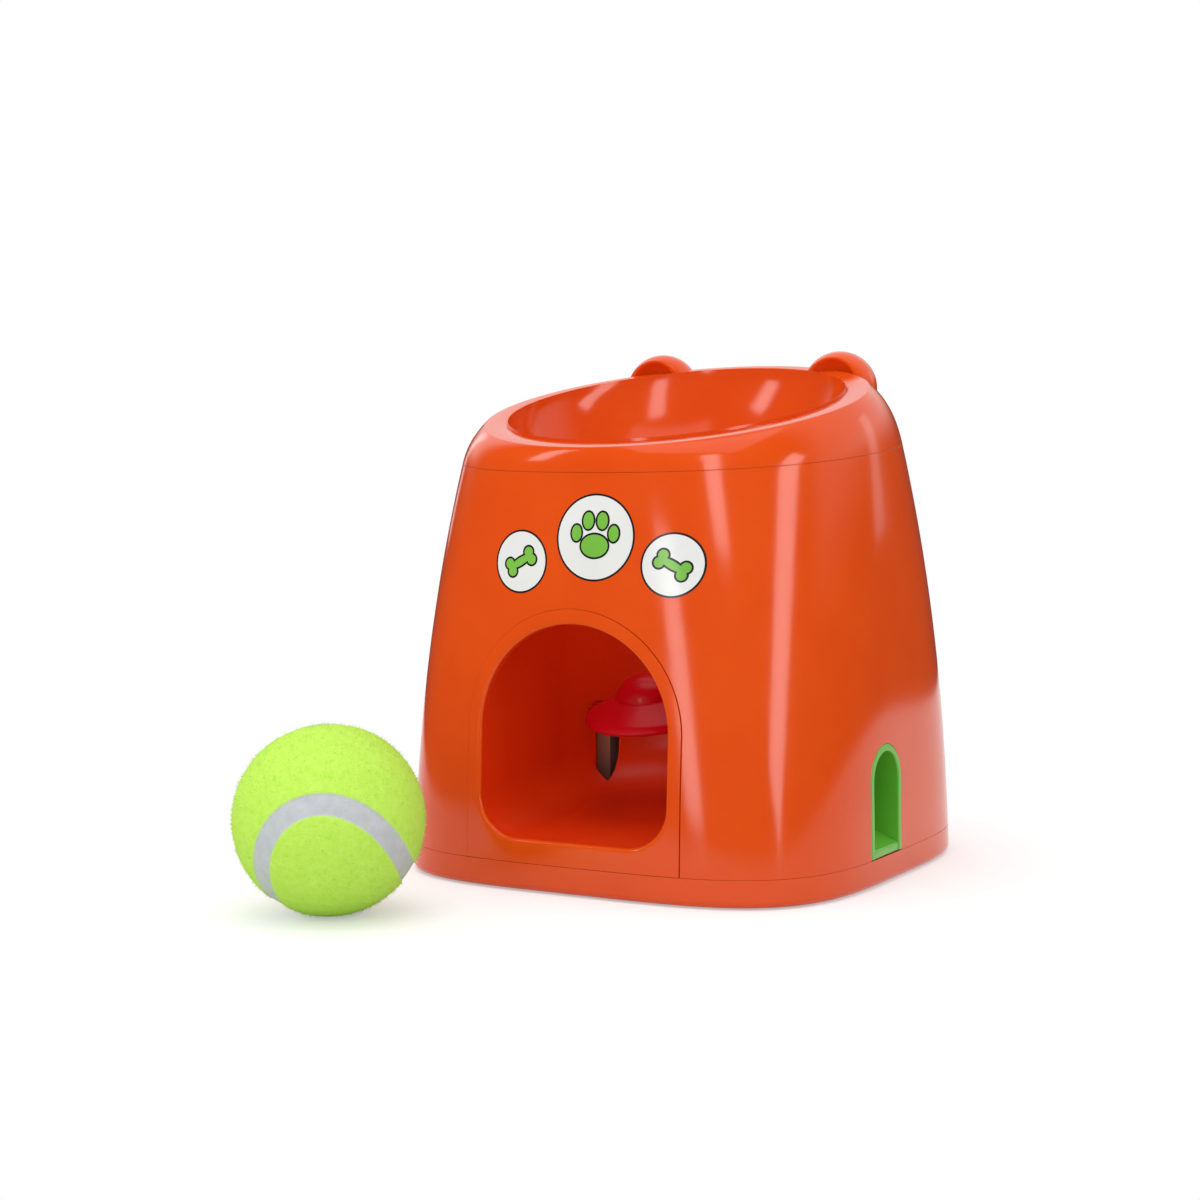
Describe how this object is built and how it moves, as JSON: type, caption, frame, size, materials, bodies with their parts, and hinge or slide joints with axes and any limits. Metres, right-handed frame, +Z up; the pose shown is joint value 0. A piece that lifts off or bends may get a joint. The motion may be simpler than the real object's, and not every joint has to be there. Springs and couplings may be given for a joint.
{
  "type": "dog treat dispenser",
  "caption": "Free-standing plastic housing with a tilted bowl: a ball dropped in presses a sprung paddle that lets treats out at a side chute, then rolls out of an arched mouth.",
  "frame": {"origin": "on the floor, under the middle of the base", "axes": "+Z up, front with the arched mouth along -Y, treat chute on +X"},
  "size_m": [0.1788, 0.2739, 0.1931],
  "materials": {
    "orange_plastic": "moulded, glossy",
    "green_plastic": "moulded, satin gloss",
    "red_plastic": "moulded, glossy",
    "grey_plastic": "moulded, matt",
    "steel": "zinc plated",
    "bush_brass": "turned",
    "foot_rubber": "matt",
    "ball_felt": "napped felt",
    "ball_rubber": "matt"
  },
  "bodies": {
    "housing": {"base_plate": "orange_plastic", "foot_pads": "foot_rubber", "base_screws": "steel", "frame_screws": "steel", "main_body": "orange_plastic", "mouth_panel": "orange_plastic", "ball_shaft": "orange_plastic", "ball_ramp": "orange_plastic", "treat_chute": "green_plastic", "treat_hopper": "grey_plastic", "hopper_screws": "steel", "axle_bracket_left": "grey_plastic", "axle_bracket_right": "grey_plastic", "axle_bushings": "bush_brass", "return_spring": "steel", "spring_post": "grey_plastic"},
    "funnel": {"funnel_top": "orange_plastic"},
    "lever": {"lever_axle": "steel", "axle_clips": "steel", "paddle_arm": "red_plastic", "strike_paddle": "red_plastic", "paddle_screws": "steel", "treat_flap": "grey_plastic", "spring_lever": "grey_plastic", "hub_grub_screws": "steel"},
    "ball": {"ball_felt": "ball_felt", "ball_core": "ball_rubber"}
  },
  "joints": [
    {"name": "funnel_lift", "type": "slide", "parent": "housing", "child": "funnel", "axis": [0, 0, 1], "range_m": [0, 0.07]},
    {"name": "paddle_press", "type": "hinge", "parent": "housing", "child": "lever", "pos_m": [0, 0.012, 0.055], "axis": [1, 0, 0], "range_deg": [0, 22], "stiffness_Nm_per_rad": 0.02, "springref_deg": -57.3, "deforming": ["return_spring"]},
    {"name": "ball_lift", "type": "slide", "parent": "housing", "child": "ball", "axis": [0, 0, 1], "range_m": [0, 0.2]}
  ]
}
